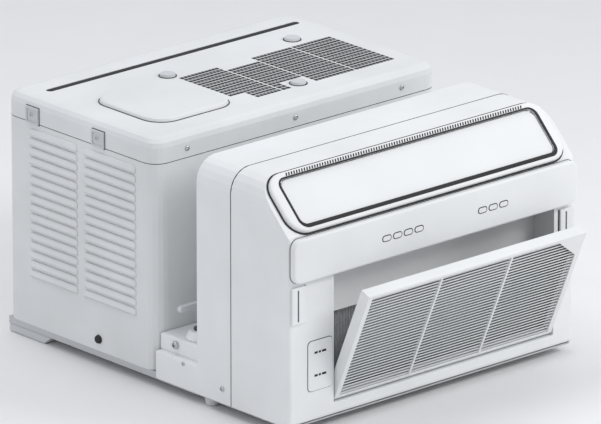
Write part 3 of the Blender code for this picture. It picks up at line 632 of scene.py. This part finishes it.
def lid_clips():
    """Square clips over the lid's seam: a raised frame round a small screw."""
    lid_wall = high("lid").x
    plate_share, frame_wide, frame_sunk, line_wide = 0.45, 0.0035, 0.0002, 0.0009
    for side, word in SIDES:
        for place in ("front", "rear"):
            name = f"lid_clip_{word}_{place}"
            start, end, flat = low(name), high(name), flat_box(name, "yz")
            inner, outer = sorted((start.x, end.x), key=abs)
            middle = inner + (outer - inner) * plate_share
            near, far = sorted((inner, middle))
            bm = bmesh.new()
            block(bm, (near, start.y, start.z), (far, end.y, end.z))
            piece(f"clip_plate_{word}_{place}", bm, TRIM, replaces=(name,), bevel=0.0006)
            bm = bmesh.new()
            band(
                bm, inset_loop(flat, 0.0004, 0.002, 4), inset_loop(flat, frame_wide, 0.001, 4),
                place_x, middle - side * frame_sunk, outer)
            piece(f"clip_frame_{word}_{place}", bm, TRIM, bevel=0.0004)
            # Painted shadow: a thin dark ring on the lid's side round each clip, where shade falls at its edge
            bm = bmesh.new()
            band(
                bm, inset_loop(flat, -line_wide, 0.001, 4), inset_loop(flat, 0.001, 0.001, 4),
                place_x, side * (lid_wall - 0.0001), side * (lid_wall + 0.00025))
            piece(f"clip_shadow_line_{word}_{place}", bm, SEAM_AND_SHADE)
            hub = Vector((middle, (start.y + end.y) / 2 + 0.002, (start.z + end.z) / 2 + 0.001))
            cross_screw(f"clip_screw_{word}_{place}", hub, (side, 0, 0), 0.0034, 0.0014)


def fin_pack(name, node_name, pitch, tube_rows):
    """A coil in the CAD slab's box: thin upright fins on copper tubes, between two end plates."""
    start, end = low(node_name), high(node_name)
    margin, fin, recess, plate = 0.014, 0.0007, 0.001, 0.0012
    bm = bmesh.new()
    x = start.x + margin
    while x < end.x - margin:
        block(bm, (x, start.y + recess, start.z), (x + fin, end.y - recess, end.z))
        x += pitch
    piece(name, bm, FINS, replaces=(node_name,))
    bm = bmesh.new()
    middle, tube_end, tube_radius = (start.y + end.y) / 2, margin * 0.9, 0.0042
    for row in range(tube_rows):
        z = start.z + (row + 0.5) * (end.z - start.z) / tube_rows
        rod(bm, (start.x + tube_end, middle, z), (end.x - tube_end, middle, z), tube_radius, sides=12)
    piece(f"{name}_tubes", bm, COPPER)
    bm = bmesh.new()
    for x in (start.x + margin - 0.0016, end.x - margin + 0.0004):
        block(bm, (x, start.y, start.z), (x + plate, end.y, end.z))
    piece(f"{name}_end_plates", bm, STEEL)


def fan():
    """Swept blades on a domed hub, in place of the flat CAD blades."""
    hub = Vector(joint("condenser_fan_spin")["pos_m"])
    start, end = low("condenser_fan"), high("condenser_fan")
    profile = [(0, -0.012), (0.026, -0.012), (0.030, -0.009), (0.030, 0.010), (0.024, 0.0135), (0, 0.0145)]
    bm = bmesh.new()
    lathe(bm, profile, along_y(hub))
    piece("fan_hub", bm, DARK, "condenser_fan", ("condenser_fan",))
    bm = bmesh.new()
    shaft_radius, shaft_inset = 0.004, 0.0005
    rod(bm, (hub.x, start.y + shaft_inset, hub.z), (hub.x, hub.y, hub.z), shaft_radius)
    piece("fan_shaft", bm, STEEL, "condenser_fan")
    blades, rings, steps = 5, 8, 4
    root, tip = 0.027, (end.z - start.z) / 2 - 0.003
    half_rise, camber, narrowing = 0.0105, 0.002, 0.25
    sweep, widest = math.radians(18), math.radians(27)
    bm = bmesh.new()
    for number in range(blades):
        grid = []
        for ring in range(rings + 1):
            out = ring / rings
            reach = root + (tip - root) * out
            middle = 2 * math.pi * number / blades + sweep * out ** 1.5
            half = widest * (1 - narrowing * out)
            line = []
            for step in range(-steps, steps + 1):
                share = step / steps
                angle = middle + half * share
                lift = half_rise * share + camber * (1 - share * share)
                line.append((hub.x + reach * math.cos(angle), hub.y + lift, hub.z + reach * math.sin(angle)))
            grid.append(line)
        sheet_grid(bm, grid)
    piece("fan_blades", bm, DARK, "condenser_fan", thickness=0.0018)


def compressor_trim():
    """Weld rings, terminal cover and three feet on rubber mounts."""
    start, end, middle = low("compressor"), high("compressor"), centre("compressor")
    radius = (end.x - start.x) / 2
    axis = Matrix.Translation((middle.x, middle.y, start.z))
    weld_heights, weld_high, weld_proud, sunk = (0.024, 0.196), 0.003, 0.0014, 0.001
    bm = bmesh.new()
    for height in weld_heights:
        lathe_ring(bm, radius - sunk, radius + weld_proud, height, height + weld_high, axis, 48)
    piece("compressor_welds", bm, BLACK, bevel=0.0008)
    bm = bmesh.new()
    block(bm, (radius - 0.004, -0.019, 0.140), (radius + 0.011, 0.019, 0.184), axis)
    piece("compressor_terminals", bm, DARK, bevel=0.003)
    feet, mounts = bmesh.new(), bmesh.new()
    mount = radius + 0.007
    for step in range(3):
        turn = axis @ Matrix.Rotation(math.radians(120 * step + 30), 4, "Z")
        block(feet, (radius * 0.6, -0.012, 0.0006), (radius + 0.014, 0.012, 0.0030), turn)
        verts = rod(mounts, (mount, 0, 0.0028), (mount, 0, 0.0110), 0.0070, 0.0052)
        bmesh.ops.transform(mounts, matrix=turn, verts=verts)
    piece("compressor_feet", feet, BLACK, bevel=0.0006)
    piece("compressor_mounts", mounts, RUBBER, bevel=0.0008)


def motor_rings():
    """Rolled joints and cooling ribs round the fan motor."""
    shaft = Vector(joint("condenser_fan_spin")["pos_m"])
    axis = along_y((shaft.x, low("fan_motor").y, shaft.z))
    inner, outer, wide = MOTOR_RADIUS - 0.001, MOTOR_RADIUS + 0.0012, 0.0024
    bm = bmesh.new()
    for reach in MOTOR_RIBS:
        lathe_ring(bm, inner, outer, reach, reach + wide, axis, 48)
    piece("fan_motor_rings", bm, STEEL, bevel=0.0005)


# Indoor unit --------------------------------------------------------------------------------

def board_parts():
    """Relays, connectors and capacitors on the back of the control board."""
    start, face = low("control_board"), high("control_board").y - 0.0002
    bm = bmesh.new()
    for x, z, wide, tall, deep in BOARD_BLOCKS:
        corner = Vector((start.x + x, face, start.z + z))
        block(bm, corner, corner + Vector((wide, deep, tall)))
    piece("board_blocks", bm, DARK, bevel=0.0005)
    bm = bmesh.new()
    for x, z, radius, deep in BOARD_CANS:
        foot = Vector((start.x + x, face, start.z + z))
        rod(bm, foot, foot + Vector((0, deep, 0)), radius)
    piece("board_capacitors", bm, STEEL, bevel=0.0006)


def shell_seam():
    """Shadow line where the front shell meets the back shell: up, over and down again."""
    start, end = low("back_shell"), high("back_shell")
    half, corner, proud, sunk = end.x, 0.035, 0.0003, 0.0012
    lines = []
    for inset in (-proud, sunk):
        loop = rounded(inset - half, start.z, half - inset, end.z - inset, [corner - inset] * 4)
        upper_arcs = loop[len(loop) // 2:]
        lines.append([(half - inset, start.z)] + upper_arcs + [(inset - half, start.z)])
    bm = bmesh.new()
    prism(bm, lines[0] + lines[1][::-1], place_y, start.y - 0.0010, start.y + 0.0002)
    piece("shell_seam", bm, SEAM_AND_SHADE)


def outlet_gasket_and_shade():
    """Soft dark lip on the rim round the flap: a gasket, with painted shade making it widest along its foot, where
    the gap under the flap lies in shade.
    """
    overhang, side, foot, top = 0.0008, 0.0034, 0.0054, 0.0014
    half = WINDOW_SPAN / 2
    inner = slope_loop(WINDOW_HALF - overhang, half - overhang, WINDOW_CORNER - overhang)
    outer = rounded(
        -WINDOW_HALF - side, -half - foot, WINDOW_HALF + side, half + top, [WINDOW_CORNER + side] * 4, 10)
    bm = bmesh.new()
    band(bm, outer, inner, place_slope, RIM_HEIGHT - 0.0016, RIM_HEIGHT + 0.0002)
    piece("outlet_gasket_and_shade", bm, SEAM_AND_SHADE, bevel=0.0003)


def rim_gap_shade():
    """Painted shadow: a thin dark strip between the outlet's rim and the shell, where shade falls in the gap."""
    across, along = rim_extent(Vector((1, 0, 0))), rim_extent(ALONG)
    half_x, half, corner = across[1], (along[1] - along[0]) / 2, 0.030
    outer, inner = (slope_loop(half_x + grow, half + grow, corner + grow) for grow in (0.0023, 0.0001))
    bm = bmesh.new()
    band(bm, outer, inner, place_slope, -0.0001, 0.0014)
    piece("rim_gap_shade", bm, SEAM_AND_SHADE, bevel=0.0004)


def rim_ribs():
    """Strip of short slanted ribs along the top of the rim."""
    start, end = WINDOW_SPAN / 2 + 0.0020, WINDOW_SPAN / 2 + 0.0067
    reach, pitch, wide, slant = 0.232, 0.0050, 0.0022, 0.002
    bm = bmesh.new()
    x = -reach
    while x < reach:
        rib = [(x, start), (x + wide, start), (x + wide + slant, end), (x + slant, end)]
        prism(bm, rib, place_slope, RIM_HEIGHT - 0.0014, RIM_HEIGHT + 0.00012)
        x += pitch
    piece("rim_ribs", bm, SEAM_AND_SHADE)


def panel_matrix():
    """Swings a shape drawn on the shut intake panel out to its open stop."""
    hinge = joint("panel_hinge")
    pivot = Matrix.Translation(hinge["pos_m"])
    return pivot @ Matrix.Rotation(math.radians(-hinge["range_deg"][0]), 4, "X") @ pivot.inverted()


def shut_box(name):
    """A panel node's box with the panel shut, from its vertices turned back about the hinge."""
    back = panel_matrix().inverted()
    points = [back @ vert.co for vert in frame["nodes"][name].data.vertices]
    lows, highs = ([pick(point[i] for point in points) for i in range(3)] for pick in (min, max))
    return Vector(lows), Vector(highs)


def panel_bays(x0, x1, z0, z1):
    """The panel's three windows as (left, right, bottom, top)."""
    rib = 0.0034
    wide = (x1 - x0 - 2 * rib) / 3
    lefts = [x0 + number * (wide + rib) for number in range(3)]
    return [(left, left + wide, z0, z1) for left in lefts]


def intake_panel():
    """Moulded frame with two ribs and a corner gusset, fine slats, and hinge pins."""
    start, end = shut_box("front_panel")
    pivot = Vector(joint("panel_hinge")["pos_m"])
    matrix = panel_matrix()
    pin_reach, pin_radius, border, top_border = 0.0055, 0.003, 0.009, 0.0055
    x0, x1 = start.x + pin_reach, end.x - pin_reach
    y0, y1, top = start.y, end.y, end.z
    half = (y1 - y0) / 2
    foot_steps = 12
    section = [(y1, top), (y0, top)]
    for step in range(foot_steps + 1):
        angle = math.radians(180 + 180 * step / foot_steps)
        section.append((pivot.y + half * math.cos(angle), pivot.z + half * math.sin(angle)))
    bm = bmesh.new()
    prism(bm, section, place_x, x0, x1)
    shell = piece("panel_frame", bm, WHITE, "front_panel", ("front_panel",))
    z0 = pivot.z + 0.001
    bays = panel_bays(x0 + border, x1 - border, z0, top - top_border)
    past = 0.01
    for number, (left, right, bottom, upper) in enumerate(bays):
        points = [(left, bottom), (right, bottom), (right, upper), (left, upper)]
        if number == 2:
            points[2:3] = [(right, upper - GUSSET_TALL), (right - GUSSET_WIDE, upper)]
        window = bmesh.new()
        prism(window, points, place_y, y0 - past, y1 + past)
        subtract(shell, window)
    edge, face_thick = 0.004, 0.0045
    recess = bmesh.new()
    block(recess, (x0 + edge, y0 + face_thick, z0 - 0.001), (x1 - edge, y1 + past, top - edge))
    subtract(shell, recess)
    shell.data.transform(matrix)
    add_bevel(shell, 0.0009, 2, 50)
    smooth(shell.data, 35)
    panel_slats(bays, y0, matrix)
    into_frame = 0.003
    bm = bmesh.new()
    for near, far in ((start.x, x0 + into_frame), (x1 - into_frame, end.x)):
        rod(bm, (near, pivot.y, pivot.z), (far, pivot.y, pivot.z), pin_radius)
    piece("panel_pins", bm, WHITE, "front_panel").data.transform(matrix)


def panel_slats(bays, front, matrix):
    """Thin wing-shaped slats, cut short at the gusset of the last bay."""
    rows, behind, into_frame = 32, 0.0012, 0.001
    section = (
        (0.0, -0.0004), (0.0, 0.0005), (0.0006, 0.0008), (0.0015, 0.0007), (0.0018, 0.0), (0.0015, -0.0007))
    bm = bmesh.new()
    for number, (left, right, bottom, upper) in enumerate(bays):
        for row in range(rows):
            z = bottom + (upper - bottom) * (row + 0.5) / rows
            far = right
            if number == 2:
                far = min(right, right - GUSSET_WIDE + (upper - z) * GUSSET_WIDE / GUSSET_TALL)
            slat = [(front + behind + dy, z + dz) for dy, dz in section]
            prism(bm, slat, place_x, left - into_frame, far + into_frame)
    piece("panel_slats", bm, SLAT, "front_panel").data.transform(matrix)


def filter_weave():
    """Crossed threads in a thin frame, in the air filter's slab."""
    start, end = shut_box("air_filter")
    matrix = panel_matrix()
    middle = (start.y + end.y) / 2
    pitch, thick, first, edge, rim = 0.0026, 0.00045, 0.004, 0.003, 0.005
    bm = bmesh.new()
    x = start.x + first
    while x < end.x - first:
        block(bm, (x, middle - thick / 2, start.z + edge), (x + thick, middle + thick / 2, end.z - edge))
        x += pitch
    z = start.z + first
    while z < end.z - first:
        block(bm, (start.x + edge, middle + thick * 0.6, z), (end.x - edge, middle + thick * 1.5, z + thick))
        z += pitch
    piece("filter_weave", bm, MESH, "front_panel", ("air_filter",)).data.transform(matrix)
    flat = (start.x, start.z, end.x, end.z)
    bm = bmesh.new()
    band(bm, inset_loop(flat, 0, 0.003, 4), inset_loop(flat, rim, 0.001, 4), place_y, start.y, end.y)
    piece("filter_rim", bm, DARK, "front_panel").data.transform(matrix)


def button_rings():
    """Painted shadow: a fine dark ring round each key, just proud of the band, where shade falls in the gap."""
    face = low("display_band").y
    bm = bmesh.new()
    for name in frame["nodes"]:
        if name.startswith("button_"):
            flat = flat_box(name, "xz")
            half = (flat[3] - flat[1]) / 2 - 0.0001
            outer, inner = (inset_loop(flat, -grow, half + grow) for grow in (0.0014, -0.0001))
            band(bm, outer, inner, place_y, face - 0.0003, face + 0.0006)
    piece("button_rings", bm, SEAM_AND_SHADE)


def plate_marks():
    """Two rows of plain raised dashes on the side plate, with no meaning."""
    start, end = low("side_plate"), high("side_plate")
    half, gap, proud, sunk = 0.0016, 0.0022, 0.0003, 0.0002
    bm = bmesh.new()
    for share in (0.30, 0.76):
        z = start.z + (end.z - start.z) * share
        x = start.x + 0.012
        for dash in (0.006, 0.004, 0.008):
            block(bm, (x, start.y - proud, z - half), (x + dash, start.y + sunk, z + half))
            x += dash + gap
    piece("plate_marks", bm, SEAM_AND_SHADE)


def shadow_line(name, node_name, grow, corner):
    """Dark line on the front face, from under a piece to just outside it."""
    flat, face, under = flat_box(node_name, "xz"), high(node_name).y, 0.001
    bm = bmesh.new()
    band(
        bm, inset_loop(flat, -grow, corner + grow), inset_loop(flat, under, corner - under),
        place_y, face - 0.0001, face + 0.00025)
    piece(name, bm, SEAM_AND_SHADE)


def grip_lines():
    """Painted shade: a dark strip in each grip's groove, and a painted shadow line along its inner side."""
    groove_near, groove_far, rim, line_wide = 0.0101, 0.0129, 0.0041, 0.0012
    for side, word in SIDES:
        start, end = low(f"corner_grip_{word}"), high(f"corner_grip_{word}")
        bm = bmesh.new()
        block(
            bm, (start.x + groove_near, start.y + 0.0016, start.z + rim),
            (start.x + groove_far, start.y + 0.0022, end.z - rim))
        near, far = (end.x, end.x + line_wide) if side < 0 else (start.x - line_wide, start.x)
        block(bm, (near, end.y - 0.0008, start.z), (far, end.y + 0.0002, end.z))
        piece(f"grip_lines_{word}", bm, SEAM_AND_SHADE)


def hub_details():
    """A ribbed knob on each hub and a screw in the skirt below it."""
    radius, ribs, rib_radius = 0.0085, 16, 0.0009
    profile = [(0, 0), (radius, 0), (radius, 0.0032), (0.0070, 0.0044), (0, 0.0044)]
    skirt = high("bridge_skirt")
    for side, word in SIDES:
        middle, top = centre(f"arm_hub_{word}"), high(f"arm_hub_{word}").z
        bm = bmesh.new()
        lathe(bm, profile, Matrix.Translation((middle.x, middle.y, top)))
        for dx, dy in circle(radius, ribs):
            x, y = middle.x + dx, middle.y + dy
            rod(bm, (x, y, top + 0.0003), (x, y, top + 0.0034), rib_radius, sides=8)
        piece(f"hub_knob_{word}", bm, DARK)
        face = Vector((side * skirt.x, -0.015, skirt.z - 0.0055))
        cross_screw(f"skirt_screw_{word}", face, (side, 0, 0), 0.0034, 0.0016)


dress_nodes()
add_camera()
add_studio()
louvre_hoods()
lid_gap_shade()
groove_shade()
vent_grid()
lid_lines()
all_screws()
lid_clips()
fin_pack("condenser_fins", "condenser_coil", 0.0034, 12)
fin_pack("evaporator_fins", "evaporator_coil", 0.0030, 8)
fan()
compressor_trim()
motor_rings()
board_parts()
shell_seam()
outlet_gasket_and_shade()
rim_gap_shade()
rim_ribs()
intake_panel()
filter_weave()
button_rings()
plate_marks()
shadow_line("band_line", "display_band", 0.0007, 0.014)
shadow_line("plate_line", "side_plate", 0.0008, 0.006)
grip_lines()
hub_details()
